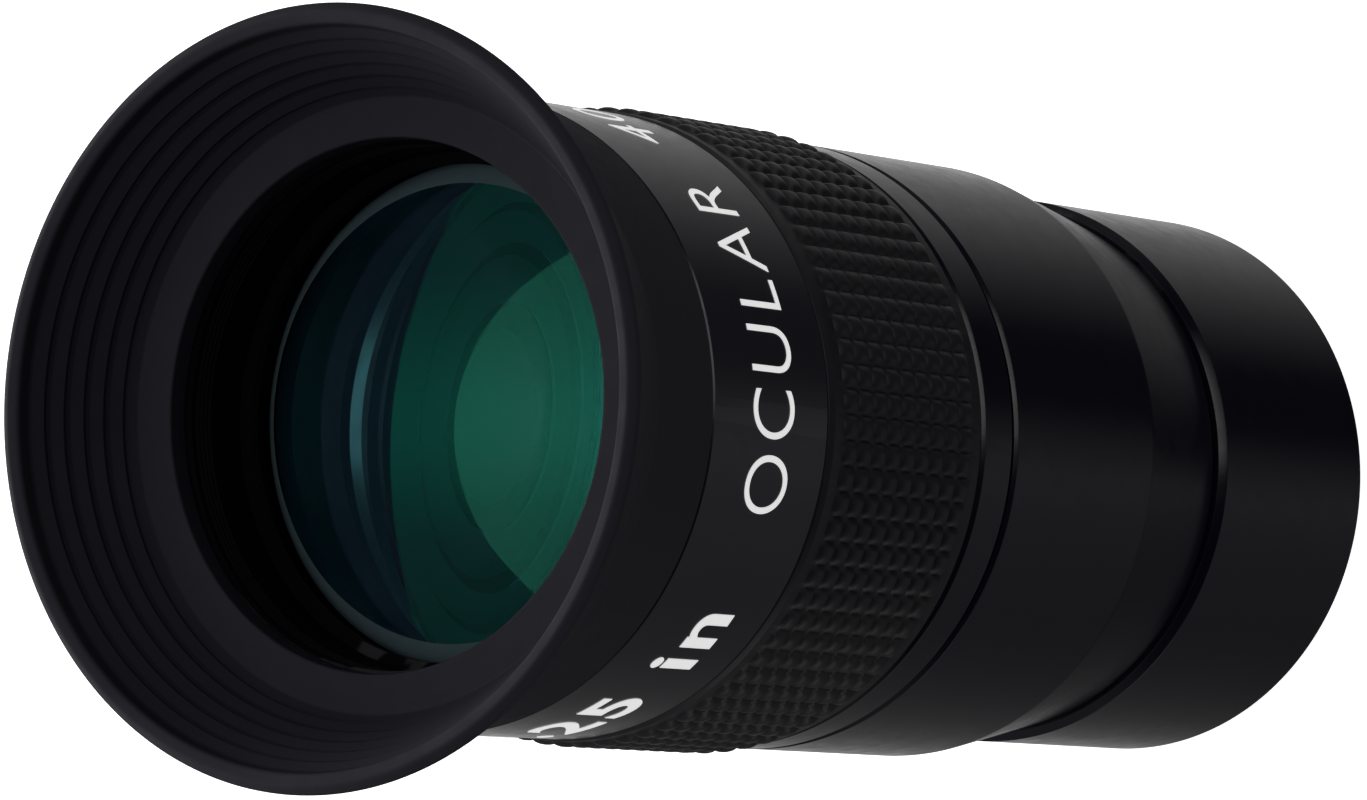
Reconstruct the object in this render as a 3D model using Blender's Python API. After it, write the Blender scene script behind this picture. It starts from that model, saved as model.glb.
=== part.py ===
"""A 40 mm telescope eyepiece with a 1.25 inch barrel, every separate piece a named solid.

It stands on the open end of its barrel. The origin is the centre of that end face, and +Z is the
optical axis, towards the eye. Lengths in this file are millimetres, and MM turns them into metres.
Every piece is turned from an outline of (radius, height) points. Mating pieces keep a small gap.
"""

import math

import bmesh
import bpy

MM = 0.001
SEGMENTS = 48  # facets round every turned piece
GAP = 0.3  # between pieces that meet end to end
FIT = 0.15  # radial gap between pieces that fit inside each other
SHARP_EDGE = math.radians(28)

# The barrel: the standard 1.25 inch nosepiece.
BARREL_R = 31.75 / 2
BARREL_TOP = 16.1
BARREL_EDGE = 0.4  # chamfer at both ends
BARREL_BORE_R = 13.95
THREAD_R = 28.5 / 2  # M28.5 x 0.6 filter thread, its groove radius
THREAD_PITCH = 0.6
THREAD_DEPTH = 0.32
THREAD_TURNS = 5
SPIGOT_BOTTOM = 9.8  # the lower body's spigot reaches down to here inside the barrel
SPIGOT_R = 15.0

# The lower body: a straight taper, then a cylinder up to the seam.
WAIST_R = 15.3
BODY_R = 17.0
TAPER_TOP = 25.8
SEAM_Z = 40.4
SEAM_EDGE = 0.2  # chamfers that make the V of the seam
COLLAR_R = 15.25  # male thread that the upper housing screws onto
COLLAR_TOP = 47.2
COLLAR_BORE_R = 14.1
RIDGE_ROOT_R = 14.7  # anti-glare ridges
RIDGE_TIP_R = 14.25
RIDGE_PITCH = 1.2
RIDGES = 19
LEDGE_Z = 20.0  # the field stop ring rests here
STOP_BORE_R = 14.5

# The field stop ring, at the focal plane.
STOP_OPENING_R = 13.6
STOP_HEIGHT = 1.8
STOP_EDGE = 0.4

# The upper housing.
FLANGE_TOP = 43.6
GRIP_SEAT_R = 16.2
BAND_BOTTOM = 59.0
BAND_TOP = 69.7
CUP_SEAT_R = 15.7
CUP_FLANGE_R = 16.1
CUP_FLANGE_BOTTOM = 72.6
HOUSING_TOP = 74.2
RECESS_R = 13.85
LIP_R = 13.25  # clear opening over the eye lens
LIP_TOP = 69.5
LIP_SLOPE = 0.3

# The optics: two doublets, flints outside, crowns facing each other.
LENS_R = 13.5
EYE_LENS_TOP = 68.9
FLINT_CENTRE = 1.2
CEMENT_CURVE = 80.0
CROWN_CENTRE = 4.6
CROWN_CURVE = 32.0
VERTEX_GAP = 1.4  # between the two crowns, on the axis
CEMENT_GAP = 0.1
CAP_RINGS = 3  # rings of facets from the axis to the rim of a lens surface
SPACER_WALL = 0.9
RETAINER_R = 14.0
RETAINER_BORE_R = 12.7
RETAINER_HEIGHT = 2.4
SLOT_WIDTH = 1.2  # spanner slots in the two threaded rings
SLOT_DEPTH = 0.7

# The rubber grip ring.
GRIP_R = 17.4
GRIP_MARGIN_R = 16.95
GRIP_BOTTOM = 44.2
GRIP_TOP = 58.4
GRIP_MARGIN = 0.9
GRIP_GROOVES = 4
GRIP_GROOVE_DEPTH = 0.3
GRIP_GROOVE_WIDTH = 0.5

# The rubber eyecup.
CUP_R = 17.0
CUP_OPENING_R = 13.9
ANNULUS_TOP = 75.3
FLARE_SLOPE = 0.54  # radius gained for each millimetre of height
SKIRT_WALL = 0.8
SKIRT_GAP = 0.15
RIM_BOTTOM = 80.1
LIP_R_OUT = 20.55
LIP_WIDEST_Z = 81.35
CUP_TOP = 82.0
LIP_TOP_R = 20.0
LIP_STEPS = 3

BLACK_ANODISED = ((0.012, 0.012, 0.013, 1), 0.32, 0.85)  # colour, roughness, metallic
SATIN_ANODISED = ((0.010, 0.010, 0.011, 1), 0.55, 0.6)
RUBBER = ((0.014, 0.014, 0.016, 1), 0.7, 0.0)
COATED_GLASS = ((0.10, 0.45, 0.32, 1), 0.03, 0.0)
CLEAR_GLASS = ((0.80, 0.90, 0.88, 1), 0.03, 0.0)


def clear_scene():
    for obj in list(bpy.data.objects):
        bpy.data.objects.remove(obj, do_unlink=True)


def principled(name, look):
    colour, roughness, metallic = look
    material = bpy.data.materials.new(name)
    material.use_nodes = True
    shader = material.node_tree.nodes["Principled BSDF"]
    shader.inputs["Base Color"].default_value = colour
    shader.inputs["Roughness"].default_value = roughness
    shader.inputs["Metallic"].default_value = metallic
    return material


def turned(name, outline, look, closed=True):
    """A solid turned about Z. The outline closes on itself, or runs from the axis to the axis."""
    bm = bmesh.new()
    points = [bm.verts.new((r * MM, 0, z * MM)) for r, z in outline]
    pairs = list(zip(points, points[1:]))
    if closed:
        pairs.append((points[-1], points[0]))
    edges = [bm.edges.new(pair) for pair in pairs]
    bmesh.ops.spin(
        bm,
        geom=points + edges,
        cent=(0, 0, 0),
        axis=(0, 0, 1),
        angle=2 * math.pi,
        steps=SEGMENTS,
        use_merge=True,
    )
    bmesh.ops.remove_doubles(bm, verts=bm.verts, dist=1e-7)
    bmesh.ops.recalc_face_normals(bm, faces=bm.faces)
    mesh = bpy.data.meshes.new(name)
    bm.to_mesh(mesh)
    bm.free()
    mesh.materials.append(principled(name, look))
    mesh.shade_smooth()
    mesh.set_sharp_from_angle(angle=SHARP_EDGE)
    obj = bpy.data.objects.new(name, mesh)
    bpy.context.scene.collection.objects.link(obj)
    return obj


def cut_slots(ring, z, depth):
    """Two spanner slots, opposite each other, across the face of a threaded ring at height z."""
    size = 2 * (BODY_R * MM)
    bm = bmesh.new()
    bmesh.ops.create_cube(bm, size=1)
    bmesh.ops.scale(bm, verts=bm.verts, vec=(size, SLOT_WIDTH * MM, 2 * depth * MM))
    bmesh.ops.translate(bm, verts=bm.verts, vec=(0, 0, z * MM))
    mesh = bpy.data.meshes.new(ring.name + "_slot_cutter")
    bm.to_mesh(mesh)
    bm.free()
    cutter = bpy.data.objects.new(mesh.name, mesh)
    bpy.context.scene.collection.objects.link(cutter)
    cutter.hide_render = True
    cutter.display_type = "WIRE"
    cut = ring.modifiers.new("spanner_slots", "BOOLEAN")
    cut.operation = "DIFFERENCE"
    cut.solver = "EXACT"
    cut.object = cutter


def ring_outline(inner, outer, bottom, top, edge=0.0):
    """A plain ring, with its outer edges chamfered where edge is given."""
    if not edge:
        return [(inner, bottom), (outer, bottom), (outer, top), (inner, top)]
    return [
        (inner, bottom),
        (outer - edge, bottom),
        (outer, bottom + edge),
        (outer, top - edge),
        (outer - edge, top),
        (inner, top),
    ]


def zigzag(root_r, tip_r, start, pitch, count):
    """Points of count ridges along a bore, from start upwards: root, tip, root, tip and so on."""
    points = [(root_r, start)]
    for turn in range(count):
        points.append((tip_r, start + (turn + 0.5) * pitch))
        points.append((root_r, start + (turn + 1) * pitch))
    return points


def sag(r, curve):
    """How far a spherical surface has fallen away from its vertex at radius r."""
    return curve - math.sqrt(curve**2 - r**2)


def surface(vertex_z, curve, direction):
    """Points of a lens surface from the axis to the rim. direction +1 has its rim above its vertex."""
    radii = [LENS_R * step / CAP_RINGS for step in range(CAP_RINGS + 1)]
    return [(r, vertex_z + direction * sag(r, curve)) for r in radii]


def flare_r(z):
    """Outer radius of the eyecup's flare at height z."""
    return CUP_R + FLARE_SLOPE * (z - ANNULUS_TOP)


def barrel():
    crest_r = THREAD_R - THREAD_DEPTH
    thread = zigzag(THREAD_R, crest_r, BARREL_EDGE, THREAD_PITCH, THREAD_TURNS)
    thread_top = thread[-1][1]
    socket_r = SPIGOT_R + FIT
    shoulder = SPIGOT_BOTTOM - GAP
    outline = [
        (THREAD_R + BARREL_EDGE, 0),
        (BARREL_R - BARREL_EDGE, 0),
        (BARREL_R, BARREL_EDGE),
        (BARREL_R, BARREL_TOP - BARREL_EDGE),
        (BARREL_R - BARREL_EDGE, BARREL_TOP),
        (socket_r, BARREL_TOP),
        (socket_r, shoulder),
        (BARREL_BORE_R, shoulder),
        (BARREL_BORE_R, thread_top + THREAD_DEPTH),
    ]
    turned("barrel", outline + thread[::-1], BLACK_ANODISED)


def lower_body():
    bottom = BARREL_TOP + GAP
    top = SEAM_Z - GAP / 2
    ridges_start = LEDGE_Z + STOP_HEIGHT + 2 * GAP
    ridges = zigzag(RIDGE_ROOT_R, RIDGE_TIP_R, ridges_start, RIDGE_PITCH, RIDGES)
    outline = [
        (BARREL_BORE_R, SPIGOT_BOTTOM),
        (SPIGOT_R, SPIGOT_BOTTOM),
        (SPIGOT_R, bottom),
        (WAIST_R, bottom),
        (BODY_R, TAPER_TOP),
        (BODY_R, top - SEAM_EDGE),
        (BODY_R - SEAM_EDGE, top),
        (COLLAR_R, top),
        (COLLAR_R, COLLAR_TOP),
        (COLLAR_BORE_R, COLLAR_TOP),
        (COLLAR_BORE_R, ridges[-1][1] + RIDGE_PITCH / 2),
        *ridges[::-1],
        (STOP_BORE_R, ridges_start),
        (STOP_BORE_R, LEDGE_Z),
        (BARREL_BORE_R, LEDGE_Z),
    ]
    turned("lower_body", outline, BLACK_ANODISED)


def field_stop_ring():
    bottom = LEDGE_Z + FIT
    top = bottom + STOP_HEIGHT
    outer = STOP_BORE_R - FIT
    outline = [
        (STOP_OPENING_R + STOP_EDGE, bottom),
        (outer, bottom),
        (outer, top),
        (STOP_OPENING_R + STOP_EDGE, top),
        (STOP_OPENING_R, bottom + STOP_HEIGHT / 2),
    ]
    ring = turned("field_stop_ring", outline, SATIN_ANODISED)
    cut_slots(ring, top, SLOT_DEPTH)


def upper_housing(stack):
    bottom = SEAM_Z + GAP / 2
    lens_bore_r = LENS_R + FIT
    retainer_bore_r = RETAINER_R + FIT
    collar_socket_r = COLLAR_R + FIT
    collar_socket_top = COLLAR_TOP + GAP
    lip_bottom = EYE_LENS_TOP + FIT
    outline = [
        (collar_socket_r, bottom),
        (BODY_R - SEAM_EDGE, bottom),
        (BODY_R, bottom + SEAM_EDGE),
        (BODY_R, FLANGE_TOP - SEAM_EDGE),
        (BODY_R - SEAM_EDGE, FLANGE_TOP),
        (GRIP_SEAT_R, FLANGE_TOP),
        (GRIP_SEAT_R, BAND_BOTTOM),
        (BODY_R - SEAM_EDGE, BAND_BOTTOM),
        (BODY_R, BAND_BOTTOM + SEAM_EDGE),
        (BODY_R, BAND_TOP - SEAM_EDGE),
        (BODY_R - SEAM_EDGE, BAND_TOP),
        (CUP_SEAT_R, BAND_TOP),
        (CUP_SEAT_R, CUP_FLANGE_BOTTOM),
        (CUP_FLANGE_R, CUP_FLANGE_BOTTOM),
        (CUP_FLANGE_R, HOUSING_TOP),
        (RECESS_R + SEAM_EDGE, HOUSING_TOP),
        (RECESS_R, HOUSING_TOP - SEAM_EDGE),
        (RECESS_R, LIP_TOP + LIP_SLOPE),
        (LIP_R, LIP_TOP),
        (LIP_R, lip_bottom),
        (lens_bore_r, lip_bottom),
        (lens_bore_r, stack["retainer_top"]),
        (retainer_bore_r, stack["retainer_top"]),
        (retainer_bore_r, collar_socket_top),
        (collar_socket_r, collar_socket_top),
    ]
    turned("upper_housing", outline, BLACK_ANODISED)


def stack_heights():
    """Heights of the lens surfaces and of the pieces that hold them, worked down from the eye lens."""
    eye_cement = EYE_LENS_TOP - FLINT_CENTRE
    eye_crown_vertex = eye_cement - CROWN_CENTRE
    middle = eye_crown_vertex - VERTEX_GAP / 2
    field_lens_bottom = 2 * middle - EYE_LENS_TOP
    return {
        "eye_cement": eye_cement,
        "eye_crown_vertex": eye_crown_vertex,
        "middle": middle,
        "field_lens_bottom": field_lens_bottom,
        "retainer_top": field_lens_bottom - FIT,
    }


def mirrored(outline, middle):
    """The same outline upside down, as the field doublet is the eye doublet turned over."""
    return [(r, 2 * middle - z) for r, z in outline]


def doublets(stack):
    cement = surface(stack["eye_cement"], CEMENT_CURVE, -1)
    crown_top = [(r, z - CEMENT_GAP) for r, z in cement]
    crown_bottom = surface(stack["eye_crown_vertex"], CROWN_CURVE, 1)
    flint = [(0, EYE_LENS_TOP), (LENS_R, EYE_LENS_TOP), *cement[::-1]]
    crown = [*crown_top, *crown_bottom[::-1]]
    middle = stack["middle"]
    turned("eye_lens_flint", flint, COATED_GLASS, closed=False)
    turned("eye_lens_crown", crown, CLEAR_GLASS, closed=False)
    turned("field_lens_crown", mirrored(crown, middle), CLEAR_GLASS, closed=False)
    turned("field_lens_flint", mirrored(flint, middle), COATED_GLASS, closed=False)


def lens_spacer(stack):
    rim = stack["eye_crown_vertex"] + sag(LENS_R - SPACER_WALL, CROWN_CURVE) - FIT
    bottom = 2 * stack["middle"] - rim
    turned("lens_spacer", ring_outline(LENS_R - SPACER_WALL, LENS_R, bottom, rim), SATIN_ANODISED)


def lens_retaining_ring(stack):
    top = stack["retainer_top"]
    bottom = top - RETAINER_HEIGHT
    ring = turned(
        "lens_retaining_ring",
        ring_outline(RETAINER_BORE_R, RETAINER_R, bottom, top - FIT, SEAM_EDGE),
        SATIN_ANODISED,
    )
    cut_slots(ring, bottom, SLOT_DEPTH)


def grip_ring():
    inner = GRIP_SEAT_R + FIT
    first = GRIP_BOTTOM + GRIP_MARGIN
    last = GRIP_TOP - GRIP_MARGIN
    pitch = (last - first) / (GRIP_GROOVES + 1)
    outline = [
        (inner, GRIP_BOTTOM),
        (GRIP_MARGIN_R, GRIP_BOTTOM),
        (GRIP_R, first),
    ]
    for groove in range(1, GRIP_GROOVES + 1):
        z = first + groove * pitch
        outline.append((GRIP_R, z - GRIP_GROOVE_WIDTH))
        outline.append((GRIP_R - GRIP_GROOVE_DEPTH, z))
        outline.append((GRIP_R, z + GRIP_GROOVE_WIDTH))
    outline += [(GRIP_R, last), (GRIP_MARGIN_R, GRIP_TOP), (inner, GRIP_TOP)]
    turned("grip_ring", outline, RUBBER)


def eyecup_base():
    """The eyecup's neck, gripping the housing's flange, and its flat annulus over the recess."""
    outline = [
        (CUP_SEAT_R + FIT, BAND_TOP + GAP),
        (CUP_R, BAND_TOP + GAP),
        (CUP_R, ANNULUS_TOP),
        (CUP_OPENING_R, ANNULUS_TOP),
        (CUP_OPENING_R, HOUSING_TOP + FIT),
        (CUP_FLANGE_R + FIT, HOUSING_TOP + FIT),
        (CUP_FLANGE_R + FIT, CUP_FLANGE_BOTTOM - FIT),
        (CUP_SEAT_R + FIT, CUP_FLANGE_BOTTOM - FIT),
    ]
    turned("eyecup_base", outline, RUBBER)


def eyecup_skirt():
    """The thin flare that turns inside out when the eyecup folds down."""
    bottom = ANNULUS_TOP + SKIRT_GAP
    top = RIM_BOTTOM - SKIRT_GAP
    outline = [
        (flare_r(bottom) - SKIRT_WALL, bottom),
        (flare_r(bottom), bottom),
        (flare_r(top), top),
        (flare_r(top) - SKIRT_WALL, top),
    ]
    turned("eyecup_skirt", outline, RUBBER)


def eyecup_rim():
    """The soft rounded lip, the part of the eyecup that travels when it folds down."""
    width = LIP_R_OUT - LIP_TOP_R
    height = CUP_TOP - LIP_WIDEST_Z
    turns = [math.pi * step / (2 * LIP_STEPS) for step in range(LIP_STEPS + 1)]
    rolled = [(LIP_TOP_R + width * math.cos(a), LIP_WIDEST_Z + height * math.sin(a)) for a in turns]
    outline = [
        (flare_r(RIM_BOTTOM) - SKIRT_WALL, RIM_BOTTOM),
        (flare_r(RIM_BOTTOM), RIM_BOTTOM),
        *rolled,
        (LIP_TOP_R - width / 2, CUP_TOP - height / 3),
    ]
    turned("eyecup_rim", outline, RUBBER)


def main():
    clear_scene()
    stack = stack_heights()
    barrel()
    lower_body()
    field_stop_ring()
    upper_housing(stack)
    doublets(stack)
    lens_spacer(stack)
    lens_retaining_ring(stack)
    grip_ring()
    eyecup_base()
    eyecup_skirt()
    eyecup_rim()


main()
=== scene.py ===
"""Looks for the telescope eyepiece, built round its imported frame.

The eyepiece stands on its open barrel end, and +Z is the optical axis towards the eye. A piece's lengths
are millimetres, which MM turns into metres, and the stage's are metres. Every round piece is turned from an
outline of (radius, height) points, where a third number rounds that corner. Extents come from the frame.
"""

import math

import bmesh
import bpy
from mathutils import Matrix, Vector

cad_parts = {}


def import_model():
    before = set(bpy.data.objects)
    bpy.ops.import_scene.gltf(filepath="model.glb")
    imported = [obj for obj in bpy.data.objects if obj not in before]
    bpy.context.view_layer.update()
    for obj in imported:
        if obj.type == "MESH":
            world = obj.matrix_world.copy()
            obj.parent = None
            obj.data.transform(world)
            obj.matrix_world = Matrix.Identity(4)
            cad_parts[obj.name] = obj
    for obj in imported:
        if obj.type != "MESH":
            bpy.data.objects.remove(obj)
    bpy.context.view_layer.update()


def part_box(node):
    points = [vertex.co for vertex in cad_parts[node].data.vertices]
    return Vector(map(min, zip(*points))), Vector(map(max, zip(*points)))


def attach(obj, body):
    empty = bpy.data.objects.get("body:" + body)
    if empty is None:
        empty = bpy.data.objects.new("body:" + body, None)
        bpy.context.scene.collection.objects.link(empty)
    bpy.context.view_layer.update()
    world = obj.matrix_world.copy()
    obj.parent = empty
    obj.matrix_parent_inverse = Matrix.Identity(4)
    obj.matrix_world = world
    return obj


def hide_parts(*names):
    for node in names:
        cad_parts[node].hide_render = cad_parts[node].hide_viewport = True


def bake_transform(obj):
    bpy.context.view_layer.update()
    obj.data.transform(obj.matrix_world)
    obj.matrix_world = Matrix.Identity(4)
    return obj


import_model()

MM = 0.001
SEGMENTS = 240  # facets round a turned piece
ARC_STEPS = 6
SHARP_EDGE = math.radians(35)
FIT = 0.15  # radial gap between pieces that fit inside each other
SKIN = 0.01  # tolerance in picking out faces and points by their place
SAME_PLACE = 1e-7  # metres between points that are merged where a turned piece meets its axis

# Sizes that the frame's boxes don't give, and fine detail that its plain solids leave out.
EDGE = 0.2  # chamfer
SOFT_EDGE = 0.08  # slight rounding
WORN_EDGE = 0.05  # the least rounding that still catches light
THREAD_R = 28.5 / 2  # M28.5 x 0.6 filter thread, its groove radius
THREAD_DEPTH = 0.32
THREAD_PITCH = 0.6
THREAD_TURNS = 5
THREAD_ROWS = 8  # rows of points for each turn of a thread
BARREL_BORE_R = 13.95
SPIGOT_R = 15.0
WAIST_R = 15.3
TAPER_TOP = 25.8
COLLAR_R = 15.25
COLLAR_TOP = 47.2
COLLAR_BORE_R = 14.1
LEDGE_Z = 20.0  # the field stop ring rests here
STOP_BORE_R = 14.5
RIDGE_ROOT_R = 14.7
RIDGE_TIP_R = 14.25
RIDGE_PITCH = 1.2
RIDGE_START = 22.4
RIDGE_RISE = 0.17  # height of a ridge's upper side, which faces the eye
RIDGE_UNDERSIDE = 0.6
RIDGES = 19
TAPER_ROUND = 2.0  # soft turn from the taper into the cylinder
FLANGE_TOP = 43.6
GRIP_SEAT_R = 16.2
BAND_BOTTOM = 59.0
BAND_TOP = 69.7
CUP_SEAT_R = 15.7
CUP_FLANGE_R = 16.1
CUP_FLANGE_BOTTOM = 72.6
RECESS_R = 13.85
RECESS_THREADS = 5
RECESS_THREAD_DEPTH = 0.12
RECESS_THREAD_PITCH = 0.35
LIP_R = 13.25  # the lip that the eye lens sits under
LIP_TOP = 69.5
LIP_SLOPE = 0.3
RETAINER_R = 14.0
CROWN_CURVE = 32.0  # radius of the lenses' inner curves
CAP_RINGS = 14  # rings of facets from the axis to the rim of a lens surface
SPACER_WALL = 0.9
EYE_BEVEL = 1.25
FIELD_BEVEL = 0.8
COLLAR_CHAMFER = 0.9
RING_BORE_R = 12.7
# The retaining ring's upper bore, whose height RING_FACE gives, carries a painted highlight.
RING_FACE = 2.6  # height of the retaining ring's pale upper bore
RING_UNDERCUT = 0.3
STOP_R = 13.6
STOP_EDGE = 0.4
SLOT_WIDTH = 1.2
SLOT_DEPTH = 0.7

# The grip's square knurl.
KNURL_ROUND = 78
KNURL_ROWS = 9
KNURL_DEPTH = 0.3
KNURL_STEPS = 8  # points across one bump
KNURL_POWER = 3.0  # how square a bump is
GRIP_MARGIN = 1.2  # plain rubber above and below the knurl

# The eyecup.
CUP_R = 17.0
CUP_OPENING_R = 14.05
ANNULUS_Z = 75.3
ANNULUS_RAISE = 0.3  # over the frame's plain annulus
FLARE_SLOPE = 0.54
FLARE_WALL = 0.8
FLARE_START = 0.4  # how far under the annulus the neck turns outwards
FLARE_ROUND = 1.0
CUP_LIP_HEIGHT = 0.9
CUP_LIP_STEP = 0.25  # height of the lip's slanted underside
CUP_LIP_SHOULDER = 0.35  # drop from the lip's top to its outer wall
CUP_LIP_CREST = 0.45  # from the outer wall in to the top
CUP_LIP_WIDTH = 1.15
CUP_LIP_DIP = 0.15  # drop from the top to the inner edge
RIBS = 5
RIB_FIRST = 1.1  # height of the lowest rib over the annulus
RIB_PITCH = 1.0
RIB_HEIGHT = 0.16
RIB_UNDERSIDE = 0.2
RIB_SLOPE = 0.55


def top_of(node):
    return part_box(node)[1].z / MM


def bottom_of(node):
    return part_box(node)[0].z / MM


def radius_of(node):
    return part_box(node)[1].x / MM


# ---------------------------------------------------------------- mesh helpers


def filleted(outline):
    """The outline with each corner that has a third number rounded to about that radius."""
    points = []
    for i, corner in enumerate(outline):
        here = Vector(corner[:2])
        if len(corner) == 2:
            points.append(tuple(here))
            continue
        before = Vector(outline[i - 1][:2]) - here
        after = Vector(outline[(i + 1) % len(outline)][:2]) - here
        half = before.angle(after) / 2
        reach = min(corner[2] / math.tan(half), before.length * 0.49, after.length * 0.49)
        start = here + before.normalized() * reach
        end = here + after.normalized() * reach
        for step in range(ARC_STEPS + 1):
            t = step / ARC_STEPS
            points.append(tuple(start * (1 - t) ** 2 + here * 2 * t * (1 - t) + end * t**2))
    return points


def turned(name, outline, look, shift=None, closed=True, segments=SEGMENTS):
    """A piece turned about Z. shift(r, z, turn) moves a point outwards, turn being 0 to 1 round the axis."""
    points = filleted(outline)
    bm = bmesh.new()
    rings = []
    for step in range(segments):
        turn = step / segments
        angle = 2 * math.pi * turn
        ring = []
        for r, z in points:
            radius = r + (shift(r, z, turn) if shift else 0)
            place = (radius * math.cos(angle) * MM, radius * math.sin(angle) * MM, z * MM)
            ring.append(bm.verts.new(place))
        rings.append(ring)
    count = len(points) if closed else len(points) - 1
    for step in range(segments):
        here = rings[step]
        there = rings[(step + 1) % segments]
        for i in range(count):
            j = (i + 1) % len(points)
            bm.faces.new((here[i], there[i], there[j], here[j]))
    if not closed:
        bmesh.ops.remove_doubles(bm, verts=bm.verts, dist=SAME_PLACE)
    bmesh.ops.recalc_face_normals(bm, faces=bm.faces)
    return finished(name, bm, look)


def finished(name, bm, look):
    """An object of that mesh, shaded smooth with weighted normals."""
    mesh = bpy.data.meshes.new(name)
    bm.to_mesh(mesh)
    bm.free()
    mesh.materials.append(look)
    mesh.shade_smooth()
    mesh.set_sharp_from_angle(angle=SHARP_EDGE)
    piece = bpy.data.objects.new(name, mesh)
    bpy.context.scene.collection.objects.link(piece)
    weighted = piece.modifiers.new("weighted_normals", "WEIGHTED_NORMAL")
    weighted.keep_sharp = True
    return piece


# ---------------------------------------------------------------- materials

NOISE_ROUGHNESS = 0.55
# Painted glow: the ink gives off a little light of its own, though it is no lamp.
INK_GLOW = 0.5  # keeps the printing crisp white in the soft light
GLASS_IOR = 1.42  # one glass stands for both in a doublet, and this makes the eyepiece about 38 mm
SURFACE_IOR = 1.5
LATHE_MARKS = 0.02
WEAR = 0.25
WORN_POINTINESS = (0.52, 0.6)  # the Geometry node's pointiness at which wear starts and is full
BARE_EDGE = (0.12, 0.12, 0.125, 1)  # where the dye has rubbed off an edge


def shader_of(name):
    """A new material, its node tree, its Principled node and its Texture Coordinate node."""
    made = bpy.data.materials.new(name)
    made.use_nodes = True
    tree = made.node_tree
    return made, tree, tree.nodes["Principled BSDF"], tree.nodes.new("ShaderNodeTexCoord")


def noise(tree, coords, scale, detail=3.0):
    node = tree.nodes.new("ShaderNodeTexNoise")
    node.inputs["Scale"].default_value = scale
    node.inputs["Detail"].default_value = detail
    node.inputs["Roughness"].default_value = NOISE_ROUGHNESS
    tree.links.new(coords, node.inputs["Vector"])
    return node.outputs["Fac"]


def ranged(tree, value, low, high, start=0.3, end=0.7):
    """value, from start to end, mapped to low to high."""
    node = tree.nodes.new("ShaderNodeMapRange")
    node.inputs["From Min"].default_value = start
    node.inputs["From Max"].default_value = end
    node.inputs["To Min"].default_value = low
    node.inputs["To Max"].default_value = high
    tree.links.new(value, node.inputs["Value"])
    return node.outputs["Result"]


def mixed(tree, share, first, second):
    """A colour between first and second, by share. Each of the two is a colour or a socket."""
    node = tree.nodes.new("ShaderNodeMix")
    node.data_type = "RGBA"
    tree.links.new(share, node.inputs["Factor"])
    for socket, colour in ((node.inputs[6], first), (node.inputs[7], second)):
        if isinstance(colour, tuple):
            socket.default_value = colour
        else:
            tree.links.new(colour, socket)
    return node.outputs[2]


def bumped(tree, height, strength, distance, normal=None):
    """A normal that shows height as relief, on top of another normal if one is given."""
    node = tree.nodes.new("ShaderNodeBump")
    node.inputs["Strength"].default_value = strength
    node.inputs["Distance"].default_value = distance
    tree.links.new(height, node.inputs["Height"])
    if normal:
        tree.links.new(normal, node.inputs["Normal"])
    return node.outputs["Normal"]


def turning_marks(tree, coords, lines):
    """Fine rings left by the lathe: noise that changes quickly along the axis and hardly round it."""
    squash = tree.nodes.new("ShaderNodeMapping")
    squash.inputs["Scale"].default_value = (1, 1, lines)
    tree.links.new(coords, squash.inputs["Vector"])
    return noise(tree, squash.outputs["Vector"], scale=60, detail=2.0)


def edge_wear(tree):
    """How far the dye is rubbed off: 0 on flat metal, rising to WEAR on sharp outer edges."""
    geometry = tree.nodes.new("ShaderNodeNewGeometry")
    return ranged(tree, geometry.outputs["Pointiness"], 0, WEAR, *WORN_POINTINESS)


def anodised(name, dark, light, rough_low, rough_high, shine=0.5):
    """Anodised aluminium: black dyed oxide, or the paler tones of painted light that some inner parts are
    given, with a fine blasted grain, faint lathe rings and paler edges.
    """
    made, tree, shader, place = shader_of(name)
    coords = place.outputs["Object"]
    cloudy = noise(tree, coords, scale=180, detail=4.0)
    base = mixed(tree, cloudy, dark, light)
    tree.links.new(mixed(tree, edge_wear(tree), base, BARE_EDGE), shader.inputs["Base Color"])
    patches = noise(tree, coords, scale=900, detail=3.0)
    tree.links.new(ranged(tree, patches, rough_low, rough_high), shader.inputs["Roughness"])
    grain = bumped(tree, noise(tree, coords, scale=9000, detail=2.0), 0.12, 0.00001)
    rings = bumped(tree, turning_marks(tree, coords, lines=90), LATHE_MARKS, 0.00002, grain)
    tree.links.new(rings, shader.inputs["Normal"])
    shader.inputs["IOR"].default_value = SURFACE_IOR
    shader.inputs["Specular IOR Level"].default_value = shine
    return made


def rubber(name, dark, light, rough_low, rough_high, shine):
    """Moulded black rubber: matt, slightly cloudy, with a fine eroded grain."""
    made, tree, shader, place = shader_of(name)
    coords = place.outputs["Object"]
    cloudy = noise(tree, coords, scale=120, detail=5.0)
    tree.links.new(mixed(tree, cloudy, dark, light), shader.inputs["Base Color"])
    patches = noise(tree, coords, scale=700, detail=4.0)
    tree.links.new(ranged(tree, patches, rough_low, rough_high), shader.inputs["Roughness"])
    grain = noise(tree, coords, scale=5200, detail=3.0)
    tree.links.new(bumped(tree, grain, 0.25, 0.00002), shader.inputs["Normal"])
    shader.inputs["IOR"].default_value = SURFACE_IOR
    shader.inputs["Specular IOR Level"].default_value = shine
    return made


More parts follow.
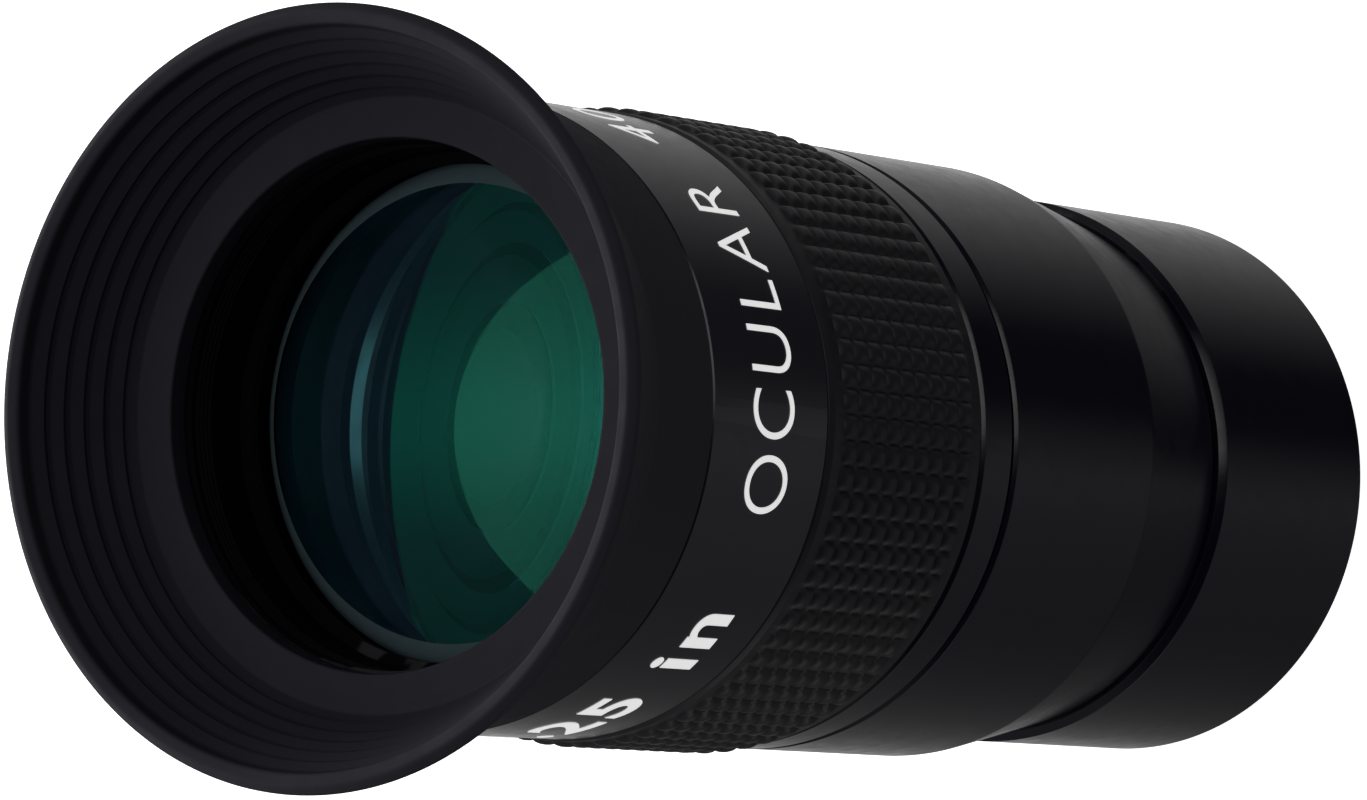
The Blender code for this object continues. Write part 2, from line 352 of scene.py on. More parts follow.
def ink():
    """Screen-printed white ink, a little uneven at its surface, with a painted glow that keeps it white."""
    made, tree, shader, place = shader_of("white_ink")
    coords = place.outputs["Object"]
    uneven = noise(tree, coords, scale=1500, detail=3.0)
    tone = mixed(tree, uneven, (0.84, 0.84, 0.83, 1), (0.93, 0.93, 0.92, 1))
    tree.links.new(tone, shader.inputs["Base Color"])
    tree.links.new(ranged(tree, noise(tree, coords, scale=2500), 0.4, 0.55), shader.inputs["Roughness"])
    tree.links.new(bumped(tree, noise(tree, coords, scale=6000), 0.1, 0.00001), shader.inputs["Normal"])
    # The painted glow.
    shader.inputs["Emission Color"].default_value = (1, 1, 1, 1)
    shader.inputs["Emission Strength"].default_value = INK_GLOW
    return made


def glass(name, reflection, mirrors):
    """Polished glass whose coating sets the colour and strength of what it mirrors."""
    made, tree, shader, place = shader_of(name)
    coords = place.outputs["Object"]
    tone = mixed(tree, noise(tree, coords, scale=90), (0.5, 0.96, 1.0, 1), (0.48, 0.94, 0.98, 1))
    tree.links.new(tone, shader.inputs["Base Color"])
    shader.inputs["Roughness"].default_value = 0.0
    shader.inputs["IOR"].default_value = GLASS_IOR
    shader.inputs["Specular IOR Level"].default_value = mirrors
    shader.inputs["Transmission Weight"].default_value = 1.0
    shader.inputs["Specular Tint"].default_value = reflection
    return made


def ground_glass():
    """The lens's finely ground bevel, blue-grey and matt."""
    made, tree, shader, place = shader_of("ground_edge")
    coords = place.outputs["Object"]
    frosted = noise(tree, coords, scale=2000, detail=4.0)
    tone = mixed(tree, frosted, (0.09, 0.14, 0.16, 1), (0.115, 0.175, 0.20, 1))
    tree.links.new(tone, shader.inputs["Base Color"])
    tree.links.new(ranged(tree, noise(tree, coords, scale=4000), 0.5, 0.7), shader.inputs["Roughness"])
    tree.links.new(bumped(tree, noise(tree, coords, scale=9000), 0.3, 0.00002), shader.inputs["Normal"])
    return made


BLACK = (0.0035, 0.0033, 0.0115, 1)
SOOT = (0.006, 0.0057, 0.0150, 1)
BARREL_METAL = anodised("barrel_anodised", BLACK, SOOT, 0.20, 0.27)
BODY_METAL = anodised("body_anodised", BLACK, SOOT, 0.20, 0.27)
HOUSING_METAL = anodised("housing_anodised", BLACK, SOOT, 0.18, 0.25)
# Painted light: the spacer and rings inside are given a pale blue-grey in place of black, standing in for
# the bluish light seen on them through the coated lenses.
INNER_METAL_PAINTED_LIGHT = anodised(
    "inner_painted_light", (0.019, 0.030, 0.050, 1), (0.024, 0.036, 0.058, 1), 0.5, 0.6, shine=0.2)
BORE_METAL = anodised(
    "bore_blackened", (0.0015, 0.0013, 0.003, 1), (0.003, 0.0026, 0.005, 1), 0.5, 0.6, shine=0.06)
# Painted light: the anti-glare ridges get a pale grey-green that stands in for the light they catch down the
# bore.
RIDGE_PAINTED_LIGHT = anodised(
    "ridge_painted_light", (0.17, 0.20, 0.15, 1), (0.20, 0.23, 0.18, 1), 0.35, 0.45, shine=0.4)
# Painted highlight: a pale grey that stands in for the bright streaks of light on the collar's chamfer and
# the retaining ring's upper bore.
PAINTED_HIGHLIGHT_METAL = anodised(
    "painted_highlight_metal", (0.30, 0.28, 0.26, 1), (0.35, 0.33, 0.31, 1), 0.35, 0.45, shine=0.4)
GRIP_RUBBER = rubber(
    "grip_rubber", (0.010, 0.0105, 0.0150, 1), (0.0145, 0.015, 0.020, 1), 0.38, 0.48, shine=0.42)
CUP_RUBBER = rubber(
    "eyecup_rubber", (0.018, 0.0172, 0.0245, 1), (0.023, 0.022, 0.031, 1), 0.66, 0.78, shine=0.2)
WHITE_INK = ink()
FRONT_COATED = glass("front_coated_glass", (0.0, 0.045, 0.19, 1), 0.05)
BLUE_COATED = glass("blue_coated_glass", (0.0, 0.02, 0.06, 1), 0.05)
GREEN_COATED = glass("green_coated_glass", (0.35, 1.0, 0.50, 1), 1.0)
TEAL_COATED = glass("teal_coated_glass", (0.06, 1.0, 0.50, 1), 0.75)
GROUND_EDGE = ground_glass()


# ---------------------------------------------------------------- pieces


def line_bore(piece, radius):
    """Blackens the faces of a tube nearer its axis than radius."""
    piece.data.materials.append(BORE_METAL)
    for face in piece.data.polygons:
        face.material_index = int(face.center.xy.length < radius * MM)


def relook(piece, look, inner, outer, bottom, top):
    """Gives a look to the faces between two radii and two heights."""
    piece.data.materials.append(look)
    slot = len(piece.data.materials) - 1
    for face in piece.data.polygons:
        r = face.center.xy.length / MM
        if inner < r < outer and bottom < face.center.z / MM < top:
            face.material_index = slot


def barrel_tube():
    top = top_of("barrel")
    outer = radius_of("barrel")
    socket_r = SPIGOT_R + FIT
    shoulder = bottom_of("lower_body") - 2 * FIT
    thread_bottom = 2 * EDGE
    rows = THREAD_ROWS * THREAD_TURNS
    thread_top = thread_bottom + THREAD_TURNS * THREAD_PITCH
    thread = []
    for row in range(rows + 1):
        thread.append((THREAD_R, thread_top - row * THREAD_PITCH / THREAD_ROWS))
    outline = [
        (THREAD_R + 2 * EDGE, 0, WORN_EDGE),
        (outer - 2 * EDGE, 0, SOFT_EDGE),
        (outer, 2 * EDGE, SOFT_EDGE),
        (outer, top - 2 * EDGE, SOFT_EDGE),
        (outer - 2 * EDGE, top, SOFT_EDGE),
        (socket_r, top),
        (socket_r, shoulder),
        (BARREL_BORE_R, shoulder, SOFT_EDGE),
        (BARREL_BORE_R, thread_top + THREAD_DEPTH),
        *thread,
    ]

    def helix(r, z, turn):
        if r != THREAD_R or not thread_bottom <= z <= thread_top:
            return 0
        along = (z - thread_bottom) / THREAD_PITCH
        wave = 0.5 - 0.5 * math.cos(2 * math.pi * (along - turn))
        fade = min(1, along, THREAD_TURNS - along)
        return -THREAD_DEPTH * wave * fade

    piece = turned("barrel_tube", outline, BARREL_METAL, helix)
    line_bore(piece, THREAD_R + EDGE)
    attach(piece, "barrel")
    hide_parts("barrel")


def ridges():
    """The anti-glare ridges of the lower body's bore, from the top down."""
    points = []
    for i in range(RIDGES):
        z = RIDGE_START + (RIDGES - i) * RIDGE_PITCH - RIDGE_RISE
        points.append((RIDGE_ROOT_R, z + RIDGE_RISE))
        points.append((RIDGE_TIP_R, z))
        points.append((RIDGE_ROOT_R, z - RIDGE_UNDERSIDE))
    return points


def body_shell():
    bottom = top_of("barrel") + 2 * FIT
    seam = bottom_of("upper_housing") - 2 * FIT
    top_ridge = RIDGE_START + RIDGES * RIDGE_PITCH + RIDGE_PITCH / 2
    body_r = radius_of("lower_body")
    outline = [
        (BARREL_BORE_R, bottom_of("lower_body")),
        (SPIGOT_R, bottom_of("lower_body"), SOFT_EDGE),
        (SPIGOT_R, bottom),
        (WAIST_R, bottom, WORN_EDGE),
        (body_r, TAPER_TOP, TAPER_ROUND),
        (body_r, seam - EDGE, WORN_EDGE),
        (body_r - EDGE, seam, WORN_EDGE),
        (COLLAR_R, seam),
        (COLLAR_R, COLLAR_TOP, WORN_EDGE),
        (COLLAR_BORE_R + COLLAR_CHAMFER, COLLAR_TOP, WORN_EDGE),
        (COLLAR_BORE_R, COLLAR_TOP - COLLAR_CHAMFER, WORN_EDGE),
        (COLLAR_BORE_R, top_ridge),
        *ridges(),
        (STOP_BORE_R, RIDGE_START),
        (STOP_BORE_R, LEDGE_Z),
        (BARREL_BORE_R, LEDGE_Z, WORN_EDGE),
    ]
    piece = turned("body_shell", outline, BODY_METAL)
    line_bore(piece, SPIGOT_R)
    # The ridges get their painted light, so that they show as lit rings.
    relook(piece, RIDGE_PAINTED_LIGHT, 0, RIDGE_ROOT_R - FIT, RIDGE_START, top_ridge)
    # The collar's chamfer gets a painted highlight.
    chamfer_r = COLLAR_BORE_R + COLLAR_CHAMFER
    relook(piece, PAINTED_HIGHLIGHT_METAL, 0, chamfer_r, COLLAR_TOP - COLLAR_CHAMFER, COLLAR_TOP)
    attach(piece, "body")
    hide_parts("lower_body")


def recess_threads(top):
    """The fine thread inside the recess's mouth, from the top down."""
    points = []
    for i in range(RECESS_THREADS):
        z = top - i * RECESS_THREAD_PITCH
        points.append((RECESS_R, z))
        points.append((RECESS_R + RECESS_THREAD_DEPTH, z - RECESS_THREAD_PITCH / 2, WORN_EDGE))
    points.append((RECESS_R, top - RECESS_THREADS * RECESS_THREAD_PITCH))
    return points


def housing_shell():
    bottom = bottom_of("upper_housing")
    top = top_of("upper_housing")
    body_r = radius_of("upper_housing")
    lens_bore_r = radius_of("eye_lens_flint") + FIT
    lip_bottom = top_of("eye_lens_flint") + FIT
    retainer_top = bottom_of("field_lens_flint") - FIT
    collar_socket_r = COLLAR_R + FIT
    collar_socket_top = COLLAR_TOP + 2 * FIT
    outline = [
        (collar_socket_r, bottom),
        (body_r - EDGE, bottom, WORN_EDGE),
        (body_r, bottom + EDGE, WORN_EDGE),
        (body_r, FLANGE_TOP - EDGE, WORN_EDGE),
        (body_r - EDGE, FLANGE_TOP, WORN_EDGE),
        (GRIP_SEAT_R, FLANGE_TOP),
        (GRIP_SEAT_R, BAND_BOTTOM),
        (body_r - SOFT_EDGE, BAND_BOTTOM),
        (body_r, BAND_BOTTOM + SOFT_EDGE),
        (body_r, BAND_TOP - SOFT_EDGE),
        (body_r - SOFT_EDGE, BAND_TOP),
        (CUP_SEAT_R, BAND_TOP),
        (CUP_SEAT_R, CUP_FLANGE_BOTTOM),
        (CUP_FLANGE_R, CUP_FLANGE_BOTTOM),
        (CUP_FLANGE_R, top),
        (RECESS_R + EDGE, top, WORN_EDGE),
        (RECESS_R, top - EDGE, WORN_EDGE),
        *recess_threads(top - 2 * EDGE),
        (RECESS_R, LIP_TOP + LIP_SLOPE, SOFT_EDGE),
        (LIP_R, LIP_TOP, WORN_EDGE),
        (LIP_R, lip_bottom),
        (lens_bore_r, lip_bottom),
        (lens_bore_r, retainer_top),
        (RETAINER_R + FIT, retainer_top),
        (RETAINER_R + FIT, collar_socket_top),
        (collar_socket_r, collar_socket_top),
    ]
    piece = turned("housing_shell", outline, HOUSING_METAL)
    line_bore(piece, RETAINER_R + 2 * FIT)
    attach(piece, "head")
    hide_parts("upper_housing")


def grip_sleeve():
    bottom = FLANGE_TOP + FIT
    top = BAND_BOTTOM - FIT
    outer = radius_of("grip_ring")
    inner = GRIP_SEAT_R + FIT
    valley = outer - KNURL_DEPTH
    first = bottom + GRIP_MARGIN
    last = top - GRIP_MARGIN
    rows = KNURL_ROWS * KNURL_STEPS
    outline = [(inner, bottom), (valley - EDGE, bottom, EDGE), (valley, bottom + 2 * EDGE, EDGE)]
    for row in range(rows + 1):
        outline.append((valley, first + (last - first) * row / rows))
    outline += [(valley, top - 2 * EDGE, EDGE), (valley - EDGE, top, EDGE), (inner, top)]

    def rise(share):
        """Height of a bump across its pitch: a groove at 0 and 1, nearly flat between."""
        return 1 - abs(2 * (share % 1) - 1) ** KNURL_POWER

    def knurl(r, z, turn):
        if not first <= z <= last or r < valley - SKIN:
            return 0
        along = (z - first) / (last - first) * KNURL_ROWS
        return KNURL_DEPTH * rise(along) * rise(turn * KNURL_ROUND)

    piece = turned("grip_sleeve", outline, GRIP_RUBBER, knurl, segments=KNURL_ROUND * KNURL_STEPS)
    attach(piece, "head")
    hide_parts("grip_ring")


def flare_r(z):
    """Outer radius of the eyecup's flare at height z."""
    return CUP_R + FLARE_SLOPE * (z - ANNULUS_Z)


def inner_flare():
    """The ribbed inner side of the flare, from the top down. A rib is steep below and slopes away above."""
    points = []
    for rib in reversed(range(RIBS)):
        crest = ANNULUS_Z + RIB_FIRST + rib * RIB_PITCH
        for z, raised in ((crest + RIB_SLOPE, 0), (crest, RIB_HEIGHT), (crest - RIB_UNDERSIDE, 0)):
            points.append((flare_r(z) - FLARE_WALL - raised, z, SOFT_EDGE))
    return points


def eyecup():
    """The whole rubber eyecup as one skin: neck, annulus, ribbed flare and rolled lip."""
    bottom = BAND_TOP + SOFT_EDGE
    top = top_of("eyecup_rim")
    lip_r = radius_of("eyecup_rim")
    lip_z = top - CUP_LIP_HEIGHT
    underside = top_of("upper_housing") + FIT
    seat_r = CUP_SEAT_R + FIT
    outline = [
        (seat_r, bottom),
        (CUP_R, bottom, SOFT_EDGE),
        (CUP_R, ANNULUS_Z - FLARE_START, FLARE_ROUND),
        (flare_r(lip_z), lip_z, 0.6),
        (lip_r, lip_z + CUP_LIP_STEP, 0.3),
        (lip_r, top - CUP_LIP_SHOULDER, 0.35),
        (lip_r - CUP_LIP_CREST, top, 0.4),
        (lip_r - CUP_LIP_WIDTH, top - CUP_LIP_DIP, 0.3),
        (flare_r(lip_z) - FLARE_WALL, lip_z, 0.5),
        *inner_flare(),
        (flare_r(ANNULUS_Z) - FLARE_WALL, ANNULUS_Z + ANNULUS_RAISE, 0.25),
        (CUP_OPENING_R, ANNULUS_Z + ANNULUS_RAISE, EDGE),
        (CUP_OPENING_R, underside, SOFT_EDGE),
        (CUP_FLANGE_R + FIT, underside),
        (CUP_FLANGE_R + FIT, CUP_FLANGE_BOTTOM - FIT),
        (seat_r, CUP_FLANGE_BOTTOM - FIT),
    ]
    piece = turned("eyecup", outline, CUP_RUBBER)
    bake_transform(piece)
    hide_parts("eyecup_base", "eyecup_skirt", "eyecup_rim")


def doublet(name, flat_z, vertex_z, nodes, flat_look, curved_look, bevel):
    """A cemented doublet: a flat outer face, a ground bevel, a blackened edge and a curved inner face."""
    radius = radius_of(nodes[0])
    way = 1 if flat_z > vertex_z else -1
    curve = []
    for step in range(CAP_RINGS, -1, -1):
        r = radius * step / CAP_RINGS
        curve.append((r, vertex_z + way * (CROWN_CURVE - math.sqrt(CROWN_CURVE**2 - r**2))))
    outline = [(0, flat_z)]
    for step in range(1, CAP_RINGS):
        outline.append(((radius - bevel) * step / CAP_RINGS, flat_z))
    outline += [(radius - bevel, flat_z), (radius, flat_z - way * bevel)]
    outline += curve
    piece = turned(name, outline, flat_look, closed=False)
    middle = abs(flat_z - vertex_z) + SKIN
    edge = abs(flat_z - curve[0][1])
    rim_r = radius - bevel
    # Each look with the radius it starts at and the depths under the flat face that it covers.
    looks = (
        (curved_look, 0, SKIN, middle),
        (GROUND_EDGE, rim_r, SKIN, bevel),
        (BORE_METAL, rim_r, bevel, edge),
    )
    for look, inner, near, far in looks:
        low, high = sorted((flat_z - way * far, flat_z - way * near))
        relook(piece, look, inner, radius + FIT, low, high)
    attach(piece, "head")
    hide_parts(*nodes)


def doublets():
    doublet("eye_doublet", top_of("eye_lens_flint"), bottom_of("eye_lens_crown"),
            ("eye_lens_flint", "eye_lens_crown"), FRONT_COATED, BLUE_COATED, EYE_BEVEL)
    doublet("field_doublet", bottom_of("field_lens_flint"), top_of("field_lens_crown"),
            ("field_lens_flint", "field_lens_crown"), TEAL_COATED, GREEN_COATED, FIELD_BEVEL)


def spacer():
    """The ring between the two lenses, its ends shaped to their curves."""
    top = top_of("lens_spacer")
    bottom = bottom_of("lens_spacer")
    outer = radius_of("lens_spacer")
    inner = outer - SPACER_WALL
    slope = SPACER_WALL * outer / CROWN_CURVE
    outline = [
        (inner, top, WORN_EDGE),
        (inner, bottom, WORN_EDGE),
        (outer, bottom - slope, WORN_EDGE),
        (outer, top + slope, WORN_EDGE),
    ]
    piece = turned("spacer_ring", outline, INNER_METAL_PAINTED_LIGHT)
    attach(piece, "head")
    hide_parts("lens_spacer")


def slotted(piece, z):
    """Cuts the spanner slot across a ring's face at height z."""
    bm = bmesh.new()
    bmesh.ops.create_cube(bm, size=MM)
    bmesh.ops.scale(bm, verts=bm.verts, vec=(3 * RETAINER_R, SLOT_WIDTH, 2 * SLOT_DEPTH))
    bmesh.ops.translate(bm, verts=bm.verts, vec=(0, 0, z * MM))
    cutter = finished("cutter", bm, INNER_METAL_PAINTED_LIGHT)
    cut = piece.modifiers.new("slot", "BOOLEAN")
    cut.operation = "DIFFERENCE"
    cut.solver = "EXACT"
    cut.object = cutter
    bpy.context.view_layer.update()
    done = bpy.data.meshes.new_from_object(piece.evaluated_get(bpy.context.evaluated_depsgraph_get()))
    piece.modifiers.remove(cut)
    piece.data = done
    bpy.data.objects.remove(cutter)


def retaining_ring():
    """The ring screwed up under the field doublet, its upper bore painted pale as a painted highlight and
    the rest undercut.
    """
    top = top_of("lens_retaining_ring")
    bottom = bottom_of("lens_retaining_ring")
    outer = radius_of("lens_retaining_ring")
    inner = RING_BORE_R
    outline = [
        (inner, top, WORN_EDGE),
        (inner, top - RING_FACE, WORN_EDGE),
        (inner + RING_UNDERCUT, top - RING_FACE),
        (inner + RING_UNDERCUT, bottom, WORN_EDGE),
        (outer, bottom, WORN_EDGE),
        (outer, top, WORN_EDGE),
    ]
    piece = turned("retaining_ring", outline, INNER_METAL_PAINTED_LIGHT)
    # Painted highlight on the upper bore.
    relook(piece, PAINTED_HIGHLIGHT_METAL, 0, outer, top - RING_FACE, top + FIT)
    slotted(piece, bottom)
    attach(piece, "head")
    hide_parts("lens_retaining_ring")


def stop_ring():
    """The field stop, a thin-lipped ring with its spanner slot on top."""
    top = top_of("field_stop_ring")
    bottom = bottom_of("field_stop_ring")
    outer = radius_of("field_stop_ring")
    outline = [
        (STOP_R + STOP_EDGE, bottom, WORN_EDGE),
        (outer, bottom, WORN_EDGE),
        (outer, top, WORN_EDGE),
        (STOP_R + STOP_EDGE, top, WORN_EDGE),
        (STOP_R, (bottom + top) / 2, WORN_EDGE),
    ]
    piece = turned("field_stop", outline, INNER_METAL_PAINTED_LIGHT)
    slotted(piece, top)
    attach(piece, "body")
    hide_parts("field_stop_ring")


# Printing on the band: name, text, the angles in degrees from +X towards -Y where it starts and ends,
# and how bold it is.
PRINT_BASE_Z = 62.25
CAP_HEIGHT = 4.1
INK_THICKNESS = 0.03
PRINTS = (
    ("print_word", "OCULAR", 107, 43, -0.06),
    ("print_focal_length", "40 mm", 30.5, -19, -0.06),
    ("print_barrel_size", "1.25 in", 183, 127, 0.12),
)
CAP_SHARE = 0.729  # a capital's height as a share of the font's size
LETTER_SPACING = 1.15
WRAP_STEP = 0.25
PRINT_LIFT = 0.75  # the ink's middle over the metal, as a share of its thickness
MERGE = 1e-4  # between points of a letter that become one
CUT_TOLERANCE = 1e-5


def band_print(name, text, start_deg, end_deg, bold):
    """White printing wrapped round the band, its letters' tops towards the eye."""
    curve = bpy.data.curves.new(name, "FONT")
    curve.body = text
    curve.size = CAP_HEIGHT / CAP_SHARE
    curve.space_character = LETTER_SPACING
    curve.offset = bold
    curve.extrude = INK_THICKNESS / 2
    maker = bpy.data.objects.new(name + "_curve", curve)
    bpy.context.scene.collection.objects.link(maker)
    bpy.context.view_layer.update()
    flat = bpy.data.meshes.new_from_object(maker.evaluated_get(bpy.context.evaluated_depsgraph_get()))
    bpy.data.objects.remove(maker)
    bm = bmesh.new()
    bm.from_mesh(flat)
    bpy.data.meshes.remove(flat)
    bmesh.ops.remove_doubles(bm, verts=bm.verts, dist=MERGE)
    left = min(v.co.x for v in bm.verts)
    width = max(v.co.x for v in bm.verts) - left
    for cut in range(1, int(width / WRAP_STEP) + 1):
        whole = bm.verts[:] + bm.edges[:] + bm.faces[:]
        here = (left + cut * WRAP_STEP, 0, 0)
        bmesh.ops.bisect_plane(bm, geom=whole, dist=CUT_TOLERANCE, plane_co=here, plane_no=(1, 0, 0))
    band_r = radius_of("upper_housing")
    for vert in bm.verts:
        angle = math.radians((start_deg - end_deg) * (vert.co.x - left) / width - start_deg)
        r = band_r + INK_THICKNESS * PRINT_LIFT + vert.co.z
        vert.co = Vector((r * math.cos(angle), r * math.sin(angle), PRINT_BASE_Z + vert.co.y)) * MM
    bmesh.ops.recalc_face_normals(bm, faces=bm.faces)
    piece = finished(name, bm, WHITE_INK)
    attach(piece, "head")


# ---------------------------------------------------------------- stage

CAMERA_PLACE = (-0.02118, -0.25169, 0.41313)  # metres
CAMERA_FORWARD = (0.05226, 0.56662, -0.82232)
CAMERA_UP = (0.99799, 0.0, 0.06343)
CAMERA_LENS = 212.1
CAMERA_SENSOR = 36
FLOOR_SIZE = 6  # metres
FLOOR_GAP = 0.0001
PANEL_AIM = (0, 0, 0.06)
# The light panels: name, centre, width and height in metres, and radiance.
PANELS = (
    ("back_card", (0, 0.90, 0.27), 1.2, 0.30, 5.0),
    ("side_strip", (0.25, -0.52, 0.42), 0.42, 0.16, 1.6),
    ("bore_light", (0, 0, -0.002), 0.018, 0.018, 1.0),
)


def camera():
    forward = Vector(CAMERA_FORWARD).normalized()
    up = Vector(CAMERA_UP)
    right = forward.cross(up).normalized()
    up = right.cross(forward)
    data = bpy.data.cameras.new("camera")
    data.lens = CAMERA_LENS
    data.sensor_width = CAMERA_SENSOR
    data.clip_start = 0.01
    data.clip_end = 20
    made = bpy.data.objects.new("camera", data)
    turn = Matrix((right, up, -forward)).transposed().to_4x4()
    made.matrix_world = Matrix.Translation(CAMERA_PLACE) @ turn
    bpy.context.scene.collection.objects.link(made)
    bpy.context.scene.camera = made


def panel(name, centre, width, height, radiance):
    """A soft rectangular light, aimed at the eyepiece, that the camera doesn't see."""
    data = bpy.data.lights.new(name, "AREA")
    data.shape = "RECTANGLE"
    data.size = width
    data.size_y = height
    data.energy = radiance * math.pi * width * height
    made = bpy.data.objects.new(name, data)
    made.location = centre
    made.rotation_euler = (Vector(PANEL_AIM) - Vector(centre)).to_track_quat("-Z", "Y").to_euler()
    made.visible_camera = False
    bpy.context.scene.collection.objects.link(made)


def floor():
    """A plain white floor for the camera. It lights nothing: the surround below the horizon does that."""
    bm = bmesh.new()
    bmesh.ops.create_grid(bm, x_segments=1, y_segments=1, size=FLOOR_SIZE)
    mesh = bpy.data.meshes.new("floor")
    bm.to_mesh(mesh)
    bm.free()
    made, tree, shader, _ = shader_of("floor_white")
    shader.inputs["Base Color"].default_value = (0.9, 0.9, 0.9, 1)
    shader.inputs["Roughness"].default_value = 0.9
    shader.inputs["Emission Color"].default_value = (1, 1, 1, 1)
    shader.inputs["Emission Strength"].default_value = 1.0
    mesh.materials.append(made)
    piece = bpy.data.objects.new("floor", mesh)
    piece.location.z = -FLOOR_GAP
    piece.visible_glossy = False
    piece.visible_shadow = False
    piece.visible_diffuse = False
    bpy.context.scene.collection.objects.link(piece)


# Brightness of the surround well below the horizon, by compass angle in degrees from +X towards +Y.
LOW_SURROUND = (
    (-180, 0.085), (-155, 0.085), (-135, 0.115), (-115, 0.135), (-95, 0.20), (-78, 0.09), (-68, 0.012),
    (-38, 0.012), (-18, 0.12), (5, 0.25), (25, 0.34), (45, 0.38), (65, 0.74), (88, 0.85), (105, 0.45),
    (122, 0.20), (145, 0.115), (165, 0.095), (180, 0.085),
)
# The same just below the horizon: strips that the metal mirrors when it is seen from the side.
MIDDLE_SURROUND = (
    (-180, 0.12), (-172, 0.75), (-150, 0.75), (-140, 0.10), (-60, 0.08), (-34, 0.10), (-26, 0.60),
    (-10, 0.60), (-2, 0.14), (60, 0.14), (84, 0.16), (92, 0.70), (112, 0.70), (120, 0.12), (180, 0.12),
)
# Brightness above the horizon, by how far the direction points towards +Y, and its fall towards -X and +X.
HIGH_SURROUND = ((-1.0, 0.02), (-0.4, 0.04), (-0.05, 0.62), (1.0, 0.62))
SIDE_FALL = ((-1.0, 0.25), (-0.35, 0.35), (0.0, 1.0), (0.08, 1.0), (0.35, 0.3), (1.0, 0.25))
# Heights of a direction, from -1 straight down to 1 straight up, between which one part fades into the next.
NADIR_FADE = (-0.90, -0.84)
MIDDLE_FADE = (-0.62, -0.50)
HORIZON_FADE = (-0.05, 0.15)
NADIR = 0.4  # the surround straight below, as a share of the rest
THROUGH_GLASS = 2.15  # how much brighter the surround is for light that comes back out of the lenses
# Extra soft light that only matt surfaces see.
GLOW_FROM = (0, 0.28, 0.96)
GLOW = 2.1
GLOW_EDGE = 0.8  # cosine of the angle from GLOW_FROM at which the glow ends
LOW_FILL = 0.4  # from below
FILL_FADE = (-0.3, 0)


def ramp(tree, value, stops, low, high):
    """A brightness read from stops, a list of (place from low to high, brightness)."""
    node = tree.nodes.new("ShaderNodeValToRGB")
    node.color_ramp.interpolation = "LINEAR"
    elements = node.color_ramp.elements
    while len(elements) < len(stops):
        elements.new(0.5)
    for element, (place, _) in zip(elements, stops):
        element.position = (place - low) / (high - low)
    for element, (_, bright) in zip(elements, stops):
        element.color = (bright, bright, bright, 1)
    tree.links.new(value, node.inputs["Fac"])
    return node.outputs["Color"]


def combined(tree, operation, first, second):
    """Two numbers put together by a Math node's operation."""
    node = tree.nodes.new("ShaderNodeMath")
    node.operation = operation
    tree.links.new(first, node.inputs[0])
    tree.links.new(second, node.inputs[1])
    return node.outputs[0]


def surround(tree, direction, split):
    """The surround's brightness in each direction."""
    compass = tree.nodes.new("ShaderNodeTexGradient")
    compass.gradient_type = "RADIAL"
    tree.links.new(direction, compass.inputs["Vector"])
    low = ramp(tree, compass.outputs["Fac"], LOW_SURROUND, -180, 180)
    middle = ramp(tree, compass.outputs["Fac"], MIDDLE_SURROUND, -180, 180)
    ahead = ramp(tree, ranged(tree, split.outputs["Y"], 0, 1, -1, 1), HIGH_SURROUND, -1, 1)
    side = ramp(tree, ranged(tree, split.outputs["X"], 0, 1, -1, 1), SIDE_FALL, -1, 1)
    high = tree.nodes.new("ShaderNodeVectorMath")
    high.operation = "MULTIPLY"
    tree.links.new(ahead, high.inputs[0])
    tree.links.new(side, high.inputs[1])
    lower = mixed(tree, ranged(tree, split.outputs["Z"], 0, 1, *MIDDLE_FADE), low, middle)
    return mixed(tree, ranged(tree, split.outputs["Z"], 0, 1, *HORIZON_FADE), lower, high.outputs[0])


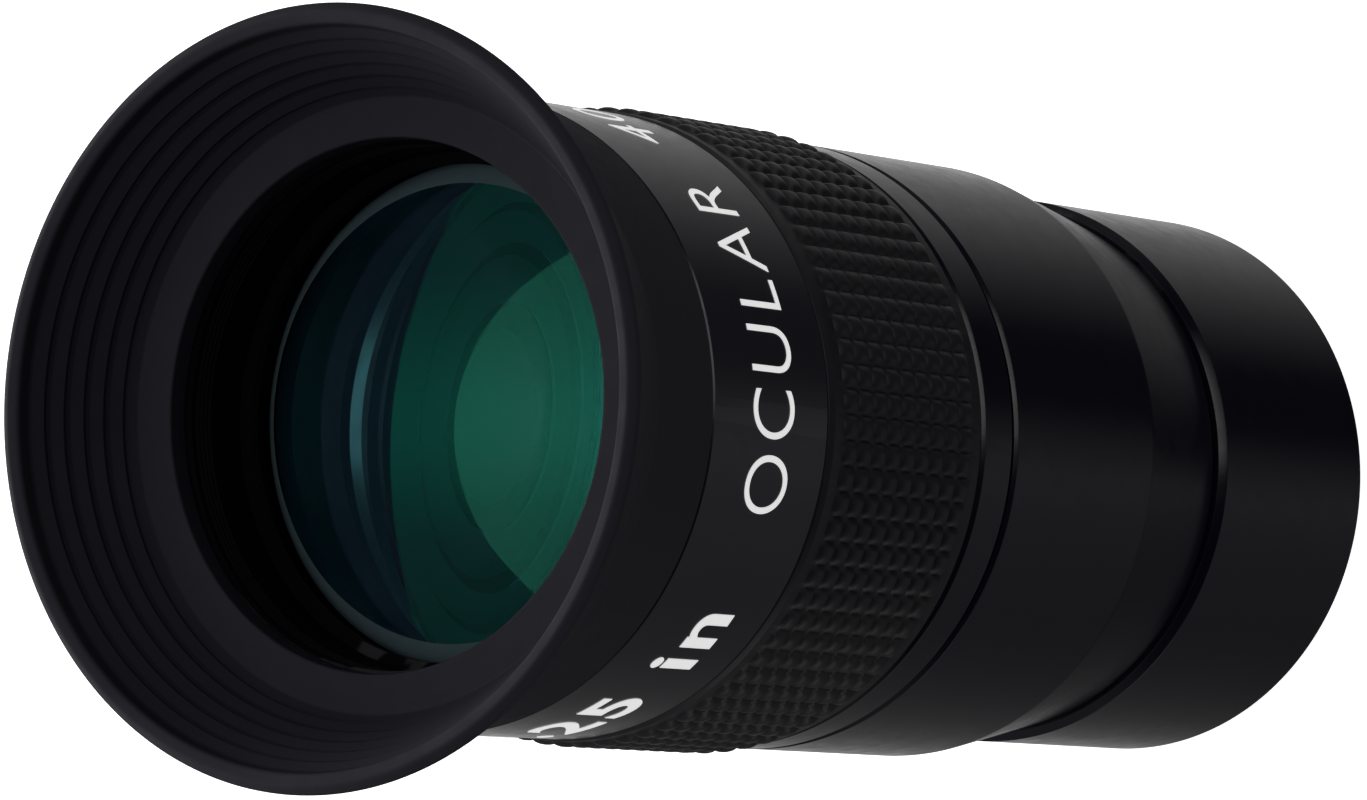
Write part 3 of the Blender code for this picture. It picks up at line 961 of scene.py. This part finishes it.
def matt_light(tree, direction, split):
    """The strength of the extra soft light, from above and a little from below."""
    towards = tree.nodes.new("ShaderNodeVectorMath")
    towards.operation = "DOT_PRODUCT"
    towards.inputs[1].default_value = GLOW_FROM
    tree.links.new(direction, towards.inputs[0])
    glow = ranged(tree, towards.outputs["Value"], 0, GLOW, GLOW_EDGE, 1)
    fill = ranged(tree, split.outputs["Z"], LOW_FILL, 0, *FILL_FADE)
    return combined(tree, "ADD", glow, fill)


def world():
    """White behind the floor's edge. For everything else a soft studio surround, brighter on one side."""
    made = bpy.data.worlds.new("studio")
    made.use_nodes = True
    tree = made.node_tree
    direction = tree.nodes.new("ShaderNodeTexCoord").outputs["Generated"]
    split = tree.nodes.new("ShaderNodeSeparateXYZ")
    tree.links.new(direction, split.inputs[0])
    path = tree.nodes.new("ShaderNodeLightPath")
    soft = tree.nodes["Background"]
    tree.links.new(surround(tree, direction, split), soft.inputs["Color"])
    through = ranged(tree, path.outputs["Is Transmission Ray"], 0, THROUGH_GLASS - 1, 0, 1)
    steep = ranged(tree, split.outputs["Z"], NADIR, 1, *NADIR_FADE)
    tree.links.new(combined(tree, "ADD", steep, through), soft.inputs["Strength"])
    matt = tree.nodes.new("ShaderNodeBackground")
    extra = combined(tree, "MULTIPLY", matt_light(tree, direction, split), path.outputs["Is Diffuse Ray"])
    tree.links.new(extra, matt.inputs["Strength"])
    both = tree.nodes.new("ShaderNodeAddShader")
    tree.links.new(soft.outputs[0], both.inputs[0])
    tree.links.new(matt.outputs[0], both.inputs[1])
    white = tree.nodes.new("ShaderNodeBackground")
    white.inputs["Color"].default_value = (1, 1, 1, 1)
    mix = tree.nodes.new("ShaderNodeMixShader")
    tree.links.new(path.outputs["Is Camera Ray"], mix.inputs["Fac"])
    tree.links.new(both.outputs[0], mix.inputs[1])
    tree.links.new(white.outputs[0], mix.inputs[2])
    tree.links.new(mix.outputs[0], tree.nodes["World Output"].inputs["Surface"])
    bpy.context.scene.world = made


camera()
world()
floor()
for light in PANELS:
    panel(*light)
barrel_tube()
body_shell()
housing_shell()
grip_sleeve()
eyecup()
doublets()
spacer()
retaining_ring()
stop_ring()
for words in PRINTS:
    band_print(*words)

bpy.context.scene.view_settings.view_transform = "Standard"
